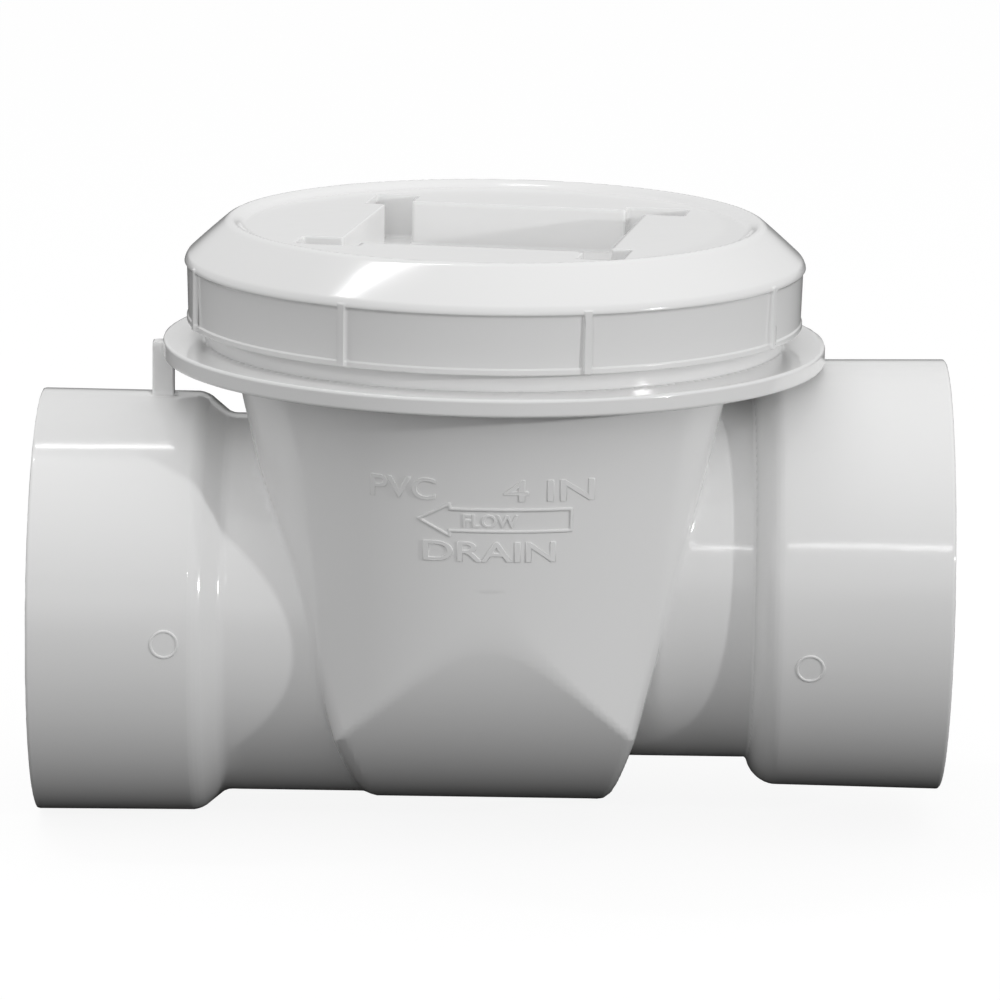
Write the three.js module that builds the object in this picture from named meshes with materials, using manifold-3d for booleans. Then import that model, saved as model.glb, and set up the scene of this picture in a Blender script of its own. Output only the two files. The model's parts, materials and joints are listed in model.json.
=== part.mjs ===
// Backwater check valve, 4 inch solvent-weld drain pattern.
// A swing flapper hangs in a pot between two pipe hubs, under a screw-on access lid.
// Millimetres, +Z up. X runs along the pipe: inlet at +X, outlet at -X. The lid's axis is X = Y = 0,
// and Z = 0 is the underside of the outlet hub, the lowest point of the valve.
import * as THREE from 'three';
import { mergeVertices } from 'three/addons/utils/BufferGeometryUtils.js';
import Module from 'manifold-3d';

const wasm = await Module();
wasm.setup();

// ---------------------------------------------------------------- driving dimensions

const SEGMENTS = 60;
const GAP = 0.3;
const OVERSHOOT = 1;

const PIPE = { boreRadius: 51, socketRadius: 57.4, socketRootRadius: 57.0, socketDepth: 45, mouthBevel: 1.5 };
const HUB_LENGTH = 136;
const DROP = 11.4;
const OUTLET = {
  side: -1, axisZ: 63.7, mouthRadius: 63.7, rootRadius: 63.3, neckRadius: 57,
  shoulderStart: 79, shoulderEnd: 87, wallAtMid: 56.2, wallSlope: 0.302,
};
const INLET = {
  side: 1, axisZ: OUTLET.axisZ + DROP, mouthRadius: 64.9, rootRadius: 64.1, neckRadius: 56.1,
  shoulderStart: 77.6, shoulderEnd: 88, wallAtMid: 51.2, wallSlope: 0.253,
};
const MID_Z = (OUTLET.axisZ + INLET.axisZ) / 2;

const POT = {
  wall: 4.6, midRadius: 77.5, flare: 0.0515, bellyRadius: 79, bellyZ: 84.7, top: 142, openTop: 143.5,
};
const FLANGE = { radius: 99.2, bottom: 140.2, top: 145.5 };
const COLLAR = { inner: 81.5, outer: 86.6, top: 165.5 };
const POST = { x: -99.2, width: 6.4 };
const WEB = { inner: 66, outer: 97, bottom: 122 };

const THREAD = {
  pitch: 6, depth: 1.8, rootWidth: 2.4, crestWidth: 1.2, sunk: 0.6, thinnest: 0.05, segments: 48,
  maleStart: 152.6, maleTurns: 1.75, femaleStart: 155.6, femaleTurns: 1.5,
};

// The skirt leans in a little towards its lip, under a band that stands proud like the grip ribs.
const LID = {
  bandRadius: 92.9, skirtTop: 92.2, skirtFoot: 91.7, skirtInner: 89.2, lip: 151.1, bandBottom: 168.6,
  chamferStart: 170.2, crestRadius: 79.8, crest: 181.9, rimInner: 78, landRadius: 75.5, land: 179.6,
  seatZ: 169.1, plugInner: 77, ceiling: 174.6, ribs: 8, ribAngle: 17, ribWidth: 2, bevel: 1,
};
// A square socket whose corners each reach out one way, so a flat bar can bear on them.
const POCKET = {
  half: 40, wall: 3.6, floor: 166.4, turn: -9.5, corner: 3, notchFrom: 33, notchSide: 46, notchEnd: 52,
};

const SEAT = { bore: 48.5, spigot: 50.3, spigotLength: 6, rim: 54.8, thickness: 3.2, wallToFace: 3.5 };
const HINGE = {
  height: 60, out: 5.7, pinRadius: 2.4, bore: 2.8, knuckle: 5.6, ear: 6.2, pinHalf: 38, bevel: 0.5,
};
const EAR = { inner: 27.5, outer: 33, footInset: 3, topCut: 2, toe: 0.9 };
const KNUCKLE = { inner: 17, outer: 27, reach: 6, foot: 1 };
const FLAP = {
  radius: 54.5, back: 8, plate: 3.4, bossRadius: 41.7, ribHeight: 3.2, ribWidth: 3.2, ringWidth: 4,
  bevelIn: 4, bevelDown: 1.5, ribInset: 6,
};
const SEAL = { inner: 42, outer: 54, front: 0.3, back: 3.1, bevel: 0.6 };
const RETAINER = { radius: 47.2, front: -2.2, back: 0, bevel: 1 };
const SCREW = {
  circle: 30, head: 4, headHeight: 2, shank: 2, hole: 2.4, tip: 6.6, count: 4, bevel: 0.8,
  drive: 2.4, driveHalf: 0.4, driveDepth: 1, segments: 20,
};
const CLIP = { radius: 5.2, thickness: 1.2, grooveRadius: 1.9, slot: 3.4, inset: 2, segments: 32 };
const GASKET = { inner: 82.1, outer: 86.3, bevel: 0.7 };
const ARROW = { z: 106.2, length: 44, head: 15, half: 4, headHalf: 7.2, line: 1, slantLine: 1.6, proud: 0.6 };

// ---------------------------------------------------------------- solids

// A closed three.js geometry as a solid, facing outwards.
function solid(geometry) {
  const bare = geometry.clone();
  bare.deleteAttribute('normal');
  bare.deleteAttribute('uv');
  const merged = mergeVertices(bare, 1e-4);
  const vertProperties = new Float32Array(merged.attributes.position.array);
  const triVerts = new Uint32Array(merged.index.array);
  if (signedVolume(vertProperties, triVerts) < 0) {
    for (let i = 0; i < triVerts.length; i += 3) {
      [triVerts[i], triVerts[i + 1]] = [triVerts[i + 1], triVerts[i]];
    }
  }
  return new wasm.Manifold(new wasm.Mesh({ numProp: 3, vertProperties, triVerts }));
}

function signedVolume(positions, indices) {
  const corner = [new THREE.Vector3(), new THREE.Vector3(), new THREE.Vector3()];
  const cross = new THREE.Vector3();
  let volume = 0;
  for (let i = 0; i < indices.length; i += 3) {
    corner.forEach((point, k) => point.fromArray(positions, 3 * indices[i + k]));
    volume += corner[0].dot(cross.crossVectors(corner[1], corner[2])) / 6;
  }
  return volume;
}

function geometryOf(manifold) {
  const mesh = manifold.getMesh();
  const geometry = new THREE.BufferGeometry();
  geometry.setAttribute('position', new THREE.BufferAttribute(new Float32Array(mesh.vertProperties), 3));
  geometry.setIndex(new THREE.BufferAttribute(new Uint32Array(mesh.triVerts), 1));
  geometry.computeVertexNormals();
  return geometry;
}

function united(...parts) {
  return parts.reduce((sum, part) => sum.add(part));
}

// A profile of [radius, height] pairs turned about Z. It is closed on itself, or runs axis to axis.
function turned(profile, segments = SEGMENTS) {
  const points = profile.map(([radius, height]) => new THREE.Vector2(radius, height));
  if (profile[0][0] > 0) {
    points.push(points[0].clone());
  }
  return new THREE.LatheGeometry(points, segments).rotateX(Math.PI / 2);
}

function disc(radius, bottom, top, segments = SEGMENTS) {
  return turned([[0, bottom], [radius, bottom], [radius, top], [0, top]], segments);
}

// A geometry turned about Z, laid along the pipe with its heights measured outwards from the middle.
function alongPipe(geometry, hub) {
  return geometry.rotateY(hub.side * Math.PI / 2).translate(0, 0, hub.axisZ);
}

function box(x0, x1, y0, y1, z0, z1) {
  const geometry = new THREE.BoxGeometry(x1 - x0, y1 - y0, z1 - z0);
  return geometry.translate((x0 + x1) / 2, (y0 + y1) / 2, (z0 + z1) / 2);
}

// A flat outline of [across, up] pairs, extruded between two places along Y.
function slabAlongY(outline, y0, y1) {
  const shape = new THREE.Shape(outline.map(([across, up]) => new THREE.Vector2(across, up)));
  const geometry = new THREE.ExtrudeGeometry(shape, { depth: y1 - y0, bevelEnabled: false });
  return geometry.rotateX(Math.PI / 2).translate(0, y1, 0);
}

// A trapezium ridge on a right-hand helix. The height fades out over the first and last eighth turn.
function helicalRidge(rootRadius, crestRadius, start, turns) {
  const steps = Math.round(turns * THREAD.segments);
  const fade = THREAD.segments / 8;
  const positions = [];
  const indices = [];
  for (let i = 0; i <= steps; i += 1) {
    const angle = (2 * Math.PI * i) / THREAD.segments;
    const height = start + (THREAD.pitch * i) / THREAD.segments;
    const rise = Math.max(Math.min(1, i / fade, (steps - i) / fade), THREAD.thinnest);
    const tip = rootRadius + (crestRadius - rootRadius) * rise;
    const section = [
      [rootRadius, -THREAD.rootWidth / 2], [tip, -THREAD.crestWidth / 2],
      [tip, THREAD.crestWidth / 2], [rootRadius, THREAD.rootWidth / 2],
    ];
    section.forEach(([radius, up]) => {
      positions.push(radius * Math.cos(angle), radius * Math.sin(angle), height + up);
    });
  }
  const quad = (a, b, c, d) => indices.push(a, b, c, a, c, d);
  for (let i = 0; i < steps; i += 1) {
    for (let k = 0; k < 4; k += 1) {
      const next = (k + 1) % 4;
      quad(4 * i + k, 4 * i + next, 4 * (i + 1) + next, 4 * (i + 1) + k);
    }
  }
  quad(3, 2, 1, 0);
  quad(4 * steps, 4 * steps + 1, 4 * steps + 2, 4 * steps + 3);
  const geometry = new THREE.BufferGeometry();
  geometry.setAttribute('position', new THREE.Float32BufferAttribute(positions, 3));
  geometry.setIndex(indices);
  return geometry;
}

// ---------------------------------------------------------------- valve body

// The pot is a flared barrel with a rounded belly, cut off by a sloping wall towards each hub.
function pot(inset, top) {
  const radiusAt = (z) => POT.midRadius + POT.flare * (z - MID_Z) - inset;
  const barrel = solid(turned([[0, 0], [radiusAt(0), 0], [radiusAt(top), top], [0, top]]));

  const belly = new THREE.Shape();
  belly.absarc(0, POT.bellyZ, POT.bellyRadius - inset, Math.PI, 2 * Math.PI, false);
  belly.lineTo(FLANGE.radius, top + OVERSHOOT);
  belly.lineTo(-FLANGE.radius, top + OVERSHOOT);
  const length = 2 * FLANGE.radius;
  const trough = new THREE.ExtrudeGeometry(belly, {
    depth: length, bevelEnabled: false, curveSegments: SEGMENTS / 2.5,
  });
  trough.rotateX(Math.PI / 2).rotateZ(Math.PI / 2).translate(-length / 2, 0, 0);

  const wallX = (hub, z) => {
    const slant = Math.hypot(1, hub.wallSlope);
    return hub.side * (hub.wallAtMid + hub.wallSlope * (z - MID_Z) - inset * slant);
  };
  const sides = slabAlongY([
    [wallX(OUTLET, -OVERSHOOT), -OVERSHOOT], [wallX(INLET, -OVERSHOOT), -OVERSHOOT],
    [wallX(INLET, top + OVERSHOOT), top + OVERSHOOT], [wallX(OUTLET, top + OVERSHOOT), top + OVERSHOOT],
  ], -FLANGE.radius, FLANGE.radius);
  return barrel.intersect(solid(trough)).intersect(solid(sides));
}

// Neck and hub in one turned piece, with a rounded shoulder between them.
function hubOutside(hub) {
  const rise = hub.rootRadius - hub.neckRadius;
  const run = hub.shoulderEnd - hub.shoulderStart;
  const shoulder = [];
  const steps = 5;
  for (let i = 0; i <= steps; i += 1) {
    const turn = (i / steps) * (Math.PI / 2);
    shoulder.push([hub.neckRadius + rise * Math.sin(turn), hub.shoulderEnd - run * Math.cos(turn)]);
  }
  const start = hub.wallAtMid / 2;
  const profile = [
    [0, start], [hub.neckRadius, start], ...shoulder, [hub.mouthRadius, HUB_LENGTH - PIPE.mouthBevel / 2],
    [hub.mouthRadius - PIPE.mouthBevel / 2, HUB_LENGTH], [0, HUB_LENGTH],
  ];
  return solid(alongPipe(turned(profile), hub));
}

function hubInside(hub) {
  const shelf = HUB_LENGTH - PIPE.socketDepth;
  const end = HUB_LENGTH + OVERSHOOT;
  const profile = [
    [0, 0], [PIPE.boreRadius, 0], [PIPE.boreRadius, shelf], [PIPE.socketRootRadius, shelf],
    [PIPE.socketRadius, HUB_LENGTH - PIPE.mouthBevel],
    [PIPE.socketRadius + PIPE.mouthBevel, HUB_LENGTH], [PIPE.socketRadius + PIPE.mouthBevel, end], [0, end],
  ];
  return solid(alongPipe(turned(profile), hub));
}

// An outlined arrow that follows the barrel and points to the outlet.
function flowArrow() {
  const outline = (inset) => {
    const tip = -ARROW.length / 2 + ARROW.slantLine * inset;
    const neck = -ARROW.length / 2 + ARROW.head - inset;
    const tail = ARROW.length / 2 - inset;
    const half = ARROW.half - inset;
    const wing = ARROW.headHalf - ARROW.slantLine * inset;
    return [
      [tip, 0], [neck, -wing], [neck, -half], [tail, -half], [tail, half], [neck, half], [neck, wing],
    ].map(([across, up]) => [across, up + ARROW.z]);
  };
  const front = -FLANGE.radius;
  const rim = solid(slabAlongY(outline(0), front, 0))
    .subtract(solid(slabAlongY(outline(ARROW.line), front - OVERSHOOT, OVERSHOOT)));
  return rim.intersect(pot(-ARROW.proud, POT.top)).subtract(pot(POT.wall / 2, POT.top + OVERSHOOT));
}

function valveBody() {
  const flange = solid(disc(FLANGE.radius, FLANGE.bottom, FLANGE.top));
  const collar = solid(disc(COLLAR.outer, FLANGE.bottom, COLLAR.top));
  const ridge = solid(helicalRidge(
    COLLAR.outer - THREAD.sunk, COLLAR.outer + THREAD.depth, THREAD.maleStart, THREAD.maleTurns,
  ));
  const half = POST.width / 2;
  const postFoot = OUTLET.axisZ + OUTLET.neckRadius;
  const post = solid(box(POST.x - half, POST.x + half, -half, half, postFoot, FLANGE.bottom + half));
  const web = solid(box(WEB.inner, WEB.outer, -half, half, WEB.bottom, FLANGE.bottom + half));
  const outside = united(
    pot(0, POT.top), hubOutside(OUTLET), hubOutside(INLET), flange, collar, ridge, post, web, flowArrow(),
  );
  const mouth = solid(disc(COLLAR.inner, POT.openTop - OVERSHOOT, COLLAR.top + OVERSHOOT));
  return outside
    .subtract(pot(POT.wall, POT.openTop))
    .subtract(mouth)
    .subtract(hubInside(OUTLET))
    .subtract(hubInside(INLET));
}

// ---------------------------------------------------------------- seat, flapper and hinge
// These are drawn flat: X is across the valve, Y runs up the seat and Z points away from the seat
// into the pot, with the origin at the centre of the seat's face.

const SEAT_TILT = Math.atan(INLET.wallSlope);
const WALL_AT_INLET = INLET.wallAtMid + INLET.wallSlope * (INLET.axisZ - MID_Z);
const FACE_X = WALL_AT_INLET - (POT.wall + SEAT.wallToFace) / Math.cos(SEAT_TILT);

function seatFrame() {
  const frame = new THREE.Group();
  const up = new THREE.Vector3(Math.sin(SEAT_TILT), 0, Math.cos(SEAT_TILT));
  const out = new THREE.Vector3(-Math.cos(SEAT_TILT), 0, Math.sin(SEAT_TILT));
  const across = new THREE.Vector3().crossVectors(up, out);
  const matrix = new THREE.Matrix4().makeBasis(across, up, out).setPosition(FACE_X, 0, INLET.axisZ);
  matrix.decompose(frame.position, frame.quaternion, frame.scale);
  return frame;
}

// A cylinder along X, the hinge's direction, centred on the hinge axis.
function hingeRod(radius, from, to, segments = 24) {
  return disc(radius, from, to, segments).rotateY(Math.PI / 2).translate(0, HINGE.height, HINGE.out);
}

function mirrored(make) {
  return united(solid(make(1)), solid(make(-1)));
}

// A plate in the Y-Z plane between two places along X, on one side of the middle.
function sidePlate(outline, from, to, side) {
  const shape = new THREE.Shape(outline.map(([up, out]) => new THREE.Vector2(-out, up)));
  const geometry = new THREE.ExtrudeGeometry(shape, { depth: to - from, bevelEnabled: false });
  return geometry.rotateY(Math.PI / 2).translate(side > 0 ? from : -to, 0, 0);
}

function seatInsert() {
  const ring = solid(turned([
    [SEAT.bore, -SEAT.spigotLength], [SEAT.spigot, -SEAT.spigotLength], [SEAT.spigot, -SEAT.thickness],
    [SEAT.rim, -SEAT.thickness], [SEAT.rim, 0], [SEAT.bore, 0],
  ]));
  const foot = Math.sqrt(SEAT.rim ** 2 - EAR.outer ** 2) - EAR.footInset;
  const outline = [
    [foot, -SEAT.thickness], [HINGE.height + HINGE.ear, -SEAT.thickness + EAR.topCut],
    [HINGE.height + HINGE.ear, HINGE.out], [HINGE.height, HINGE.out + HINGE.ear],
    [HINGE.height - HINGE.ear, HINGE.out], [FLAP.radius * EAR.toe, 0], [foot, 0],
  ];
  const ears = mirrored((side) => sidePlate(outline, EAR.inner, EAR.outer, side));
  const eye = mirrored((side) => hingeRod(HINGE.ear, ...span(EAR, side)));
  const bore = solid(hingeRod(HINGE.bore, -HINGE.pinHalf, HINGE.pinHalf));
  return united(ring, ears, eye).subtract(bore);
}

function span(range, side) {
  return side > 0 ? [range.inner, range.outer] : [-range.outer, -range.inner];
}

function screwPlaces() {
  return Array.from({ length: SCREW.count }, (_, i) => {
    const angle = ((i + 0.5) * 2 * Math.PI) / SCREW.count;
    return [SCREW.circle * Math.cos(angle), SCREW.circle * Math.sin(angle)];
  });
}

function screwHoles(from, to) {
  return united(...screwPlaces().map(([x, y]) => {
    return solid(disc(SCREW.hole, from, to, SCREW.segments).translate(x, y, 0));
  }));
}

function flapper() {
  const plate = solid(turned([
    [0, SEAL.front], [FLAP.bossRadius, SEAL.front], [FLAP.bossRadius, FLAP.plate], [FLAP.radius, FLAP.plate],
    [FLAP.radius, FLAP.back - FLAP.bevelDown], [FLAP.radius - FLAP.bevelIn, FLAP.back], [0, FLAP.back],
  ]));
  const ribFoot = FLAP.back - OVERSHOOT;
  const ribTop = FLAP.back + FLAP.ribHeight;
  const ribs = [0, 1].map((k) => {
    const reach = FLAP.radius - FLAP.ribInset;
    const half = FLAP.ribWidth / 2;
    return solid(box(-reach, reach, -half, half, ribFoot, ribTop).rotateZ(k * Math.PI / 2));
  });
  const ringInner = SCREW.circle - FLAP.ringWidth / 2;
  const ringOuter = SCREW.circle + FLAP.ringWidth / 2;
  const ringRib = solid(turned([
    [ringInner, ribFoot], [ringOuter, ribFoot], [ringOuter, ribTop], [ringInner, ribTop],
  ]));
  const armOutline = [
    [SCREW.circle, FLAP.plate + KNUCKLE.foot], [SCREW.circle, ribTop],
    [HINGE.height - KNUCKLE.reach, HINGE.out + HINGE.knuckle], [HINGE.height, HINGE.out + HINGE.knuckle],
    [HINGE.height, HINGE.out], [HINGE.height - HINGE.knuckle, FLAP.plate],
  ];
  const arms = mirrored((side) => sidePlate(armOutline, KNUCKLE.inner, KNUCKLE.outer, side));
  const eyes = mirrored((side) => hingeRod(HINGE.knuckle, ...span(KNUCKLE, side)));
  const bore = solid(hingeRod(HINGE.bore, -HINGE.pinHalf, HINGE.pinHalf));
  const holes = screwHoles(SEAL.front - OVERSHOOT, SCREW.tip + GAP);
  return united(plate, ...ribs, ringRib, arms, eyes).subtract(bore).subtract(holes);
}

function flapperSeal() {
  const { inner, outer, front, back, bevel } = SEAL;
  return solid(turned([
    [inner, front], [outer - bevel, front], [outer, front + bevel], [outer, back], [inner, back],
  ]));
}

function sealRetainer() {
  const { radius, front, back, bevel } = RETAINER;
  const plate = solid(turned([
    [0, front], [radius - bevel, front], [radius, front + bevel], [radius, back], [0, back],
  ]));
  return plate.subtract(screwHoles(front - OVERSHOOT, back + OVERSHOOT));
}

function retainerScrew() {
  const face = RETAINER.front - GAP;
  const top = face - SCREW.headHeight;
  const body = solid(turned([
    [0, top], [SCREW.head - SCREW.bevel, top], [SCREW.head, top + SCREW.bevel], [SCREW.head, face],
    [SCREW.shank, face], [SCREW.shank, SCREW.tip - SCREW.bevel], [SCREW.shank - SCREW.bevel, SCREW.tip],
    [0, SCREW.tip],
  ], SCREW.segments));
  const { drive, driveHalf } = SCREW;
  const cross = [0, 1].map((k) => {
    const blade = box(-drive, drive, -driveHalf, driveHalf, top - OVERSHOOT, top + SCREW.driveDepth);
    return solid(blade.rotateZ(k * Math.PI / 2));
  });
  return body.subtract(united(...cross));
}

function hingePin() {
  const grooveFrom = HINGE.pinHalf - CLIP.inset - CLIP.thickness - GAP;
  const grooveTo = HINGE.pinHalf - CLIP.inset + GAP;
  const groove = CLIP.grooveRadius - GAP;
  const end = HINGE.pinHalf;
  const half = [
    [HINGE.pinRadius, grooveFrom], [groove, grooveFrom], [groove, grooveTo], [HINGE.pinRadius, grooveTo],
    [HINGE.pinRadius, end - HINGE.bevel], [HINGE.pinRadius - HINGE.bevel, end], [0, end],
  ];
  const profile = [...half.map(([radius, along]) => [radius, -along]).reverse(), ...half];
  const rod = turned(profile, 24).rotateY(Math.PI / 2);
  return solid(rod.translate(0, HINGE.height, HINGE.out));
}

// An E-clip: a ring with one open side, snapped into the pin's groove.
function pinClip(side) {
  const from = HINGE.pinHalf - CLIP.inset - CLIP.thickness;
  const to = from + CLIP.thickness;
  const ring = solid(turned([
    [CLIP.grooveRadius, from], [CLIP.radius, from], [CLIP.radius, to], [CLIP.grooveRadius, to],
  ], CLIP.segments));
  const half = CLIP.slot / 2;
  const mouth = solid(box(0, CLIP.radius + OVERSHOOT, -half, half, from - OVERSHOOT, to + OVERSHOOT));
  const clip = geometryOf(ring.subtract(mouth)).rotateY(side * Math.PI / 2);
  return solid(clip.translate(0, HINGE.height, HINGE.out));
}

// ---------------------------------------------------------------- access lid

// The lid's square socket, turned a little off the pipe's direction. grow makes room for its wall.
function socket(grow, bottom, top) {
  const corner = POCKET.corner + grow;
  const reach = POCKET.half - POCKET.corner;
  const square = new THREE.Shape();
  const notches = [0, 1, 2, 3].map((k) => {
    const turn = k * Math.PI / 2;
    const centre = new THREE.Vector2(reach, reach).rotateAround(new THREE.Vector2(), turn);
    square.absarc(centre.x, centre.y, corner, turn, turn + Math.PI / 2, false);
    const inner = -POCKET.notchFrom + grow;
    const notch = box(-POCKET.notchEnd - grow, inner, -POCKET.notchSide - grow, inner, bottom, top);
    return solid(notch.rotateZ(turn + THREE.MathUtils.degToRad(POCKET.turn)));
  });
  const geometry = new THREE.ExtrudeGeometry(square, {
    depth: top - bottom, bevelEnabled: false, curveSegments: 4,
  });
  geometry.translate(0, 0, bottom).rotateZ(THREE.MathUtils.degToRad(POCKET.turn));
  return united(solid(geometry), ...notches);
}

function lid() {
  const { bevel } = LID;
  const shell = solid(turned([
    [0, LID.ceiling], [LID.plugInner, LID.ceiling], [LID.plugInner, LID.seatZ], [LID.skirtInner, LID.seatZ],
    [LID.skirtInner, LID.lip + bevel], [LID.skirtInner + bevel, LID.lip], [LID.skirtFoot, LID.lip],
    [LID.skirtTop, LID.bandBottom], [LID.bandRadius, LID.bandBottom],
    [LID.bandRadius, LID.chamferStart], [LID.bandRadius - bevel, LID.chamferStart + bevel],
    [LID.crestRadius + bevel, LID.crest - bevel], [LID.crestRadius, LID.crest], [LID.rimInner, LID.crest],
    [LID.landRadius, LID.land], [0, LID.land],
  ], 72));
  const cup = socket(POCKET.wall, POCKET.floor - POCKET.wall, LID.land);
  const hollow = socket(0, POCKET.floor, LID.crest + OVERSHOOT);
  const ridge = solid(helicalRidge(
    LID.skirtInner + THREAD.sunk / 2, LID.skirtInner - THREAD.depth, THREAD.femaleStart, THREAD.femaleTurns,
  ));
  const ribs = Array.from({ length: LID.ribs }, (_, k) => {
    const turn = THREE.MathUtils.degToRad(LID.ribAngle - 90 + (k * 360) / LID.ribs);
    const half = LID.ribWidth / 2;
    const root = LID.skirtFoot - bevel;
    return solid(box(root, LID.bandRadius, -half, half, LID.lip, LID.chamferStart).rotateZ(turn));
  });
  return united(united(shell, cup).subtract(hollow), ridge, ...ribs);
}

function lidGasket() {
  const bottom = COLLAR.top + GAP;
  const top = LID.seatZ - GAP;
  const { inner, outer, bevel } = GASKET;
  return solid(turned([
    [inner + bevel, bottom], [outer - bevel, bottom], [outer, bottom + bevel], [outer, top - bevel],
    [outer - bevel, top], [inner + bevel, top], [inner, top - bevel], [inner, bottom + bevel],
  ]));
}

// ---------------------------------------------------------------- assembly

const WHITE_PVC = { color: 0xf2f2f0, roughness: 0.28, metalness: 0 };
const SEAT_PVC = { color: 0xe9e9e4, roughness: 0.35, metalness: 0 };
const RUBBER = { color: 0x1b1b1c, roughness: 0.75, metalness: 0 };
const STAINLESS = { color: 0xb9bbbe, roughness: 0.3, metalness: 1 };

function piece(name, manifold, look) {
  const mesh = new THREE.Mesh(geometryOf(manifold), new THREE.MeshStandardMaterial(look));
  mesh.name = name;
  return mesh;
}

const valve = new THREE.Group();
valve.add(piece('valve_body', valveBody(), WHITE_PVC));
valve.add(piece('lid', lid(), WHITE_PVC));
valve.add(piece('lid_gasket', lidGasket(), RUBBER));

const seatAssembly = seatFrame();
seatAssembly.add(piece('seat_insert', seatInsert(), SEAT_PVC));
seatAssembly.add(piece('hinge_pin', hingePin(), STAINLESS));
seatAssembly.add(piece('pin_clip_front', pinClip(1), STAINLESS));
seatAssembly.add(piece('pin_clip_rear', pinClip(-1), STAINLESS));
seatAssembly.add(piece('flapper', flapper(), SEAT_PVC));
seatAssembly.add(piece('flapper_seal', flapperSeal(), RUBBER));
seatAssembly.add(piece('seal_retainer', sealRetainer(), STAINLESS));
screwPlaces().forEach(([x, y], i) => {
  const screw = piece(`retainer_screw_${i + 1}`, retainerScrew(), STAINLESS);
  screw.position.set(x, y, 0);
  seatAssembly.add(screw);
});
valve.add(seatAssembly);

export default valve;
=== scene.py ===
"""Looks for a backwater check valve: smooth moulded shells, a hung flapper and a screw-on lid.

Shapes are signed fields in millimetres, negative inside, meshed here and scaled to metres.
X runs along the pipe with the inlet at +X, the lid's axis is X = Y = 0, and Z is up.
"""
import json
import math

import bpy
import numpy as np
from mathutils import Matrix, Vector


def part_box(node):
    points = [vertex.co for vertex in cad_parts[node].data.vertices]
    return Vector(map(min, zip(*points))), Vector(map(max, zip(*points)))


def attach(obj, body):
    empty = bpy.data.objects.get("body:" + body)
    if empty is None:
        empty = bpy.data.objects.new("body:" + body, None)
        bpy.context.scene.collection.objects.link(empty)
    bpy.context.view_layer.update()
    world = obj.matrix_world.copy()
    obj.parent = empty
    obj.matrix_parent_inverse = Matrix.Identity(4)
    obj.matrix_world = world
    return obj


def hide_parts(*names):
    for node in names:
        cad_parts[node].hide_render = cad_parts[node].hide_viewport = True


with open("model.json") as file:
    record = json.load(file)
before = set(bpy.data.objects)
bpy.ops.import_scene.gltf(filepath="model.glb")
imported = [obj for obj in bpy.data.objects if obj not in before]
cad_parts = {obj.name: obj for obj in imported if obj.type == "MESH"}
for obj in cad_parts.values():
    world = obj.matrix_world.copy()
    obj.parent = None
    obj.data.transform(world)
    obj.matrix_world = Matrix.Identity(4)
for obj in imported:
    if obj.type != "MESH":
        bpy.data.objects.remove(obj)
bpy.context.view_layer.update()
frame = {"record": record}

MM = 0.001
TAU = 2 * math.pi


def node_box(node):
    """Lowest and highest corner of a CAD node, in millimetres."""
    low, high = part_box(node)
    return np.array(low) / MM, np.array(high) / MM


# ---------------------------------------------------------------- dimensions, in millimetres
# An edge is the radius that rounds an outside corner, and a fillet is the radius that fills an inside one.

BODY_LOW, BODY_HIGH = node_box("valve_body")
LID_LOW, LID_HIGH = node_box("lid")
GASKET_LOW, GASKET_HIGH = node_box("lid_gasket")

DROP = 11.4
HUB_LENGTH = BODY_HIGH[0]
HUB = dict(edge=0.9, neck_fillet=1.0, pot_fillet=1.5, shell_overlap=4.0)
OUTLET = dict(
    side=-1, axis=63.7, mouth=63.7, root=63.3, neck=57.0, shoulder=79.0, shoulder_end=86.6, round=1.6,
    wall=56.2, slope=0.302, edge=5.0,
)
INLET = dict(
    side=1, axis=OUTLET["axis"] + DROP, mouth=64.9, root=64.1, neck=56.1, shoulder=77.8, shoulder_end=79.4,
    round=7.2, wall=51.6, slope=0.253, edge=3.0,
)
MID_Z = (OUTLET["axis"] + INLET["axis"]) / 2
SOCKET = dict(radius=57.4, root=57.0, depth=45.0, bevel=1.5, bore=51.0, edge=0.6)
SHELF = HUB_LENGTH - SOCKET["depth"]

POT = dict(
    wall=4.6, radius=77.5, flare=0.0515, top=142.0, open_top=143.5, inside_edge=2.0,
    belly=78.7, belly_z=84.7, flank=0.6, ridge=0.9,
)
FLANGE = dict(radius=BODY_HIGH[1], bottom=140.2, top=145.5, edge=0.9, fillet=1.2)
COLLAR = dict(inner=81.5, outer=86.6, top=BODY_HIGH[2], edge=0.8, fillet=0.5)
POST = dict(x=-99.2, width=6.4, edge=0.6, fillet=1.0)
WEB = dict(inner=66.0, outer=97.0, bottom=122.0)
THREAD = dict(
    pitch=6.0, depth=1.8, root=2.4, crest=1.3, sunk=0.5, edge=0.35,
    male_start=152.6, male_turns=1.75, female_start=155.6, female_turns=1.5,
)

LID = dict(
    band=LID_HIGH[1], skirt_top=92.2, skirt_foot=91.7, inner=89.2, lip=LID_LOW[2], band_bottom=168.6,
    shoulder=170.2, crest_radius=79.8, crest=LID_HIGH[2], bulge=0.12,
    rim=78.0, land_radius=75.5, land=179.6, seat=169.1, plug=77.0, ceiling=174.6, bead=0.45, bead_height=1.9,
)
LID_EDGE = dict(crest=1.2, rim=1.8, land=0.8, band=0.35, skirt=0.6, bead=0.45, socket=0.5, floor=1.0)
LID_FILLET = dict(skirt=0.9, bead=0.3, cup=1.5)
RIB = dict(
    count=8, turn=17.0, width=2.5, proud=0.3, sunk=2.0, foot=0.2, head=0.4,
    edge=0.45, end_edge=0.4, fillet=0.3,
)
POCKET = dict(
    half=40.0, wall=3.6, floor=166.4, turn=-9.5, corner=3.0,
    notch_from=33.0, notch_side=46.0, notch_end=52.0, notch_edge=1.2, notch_fillet=0.8,
)
GASKET = dict(inner=82.1, edge=0.9)

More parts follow.
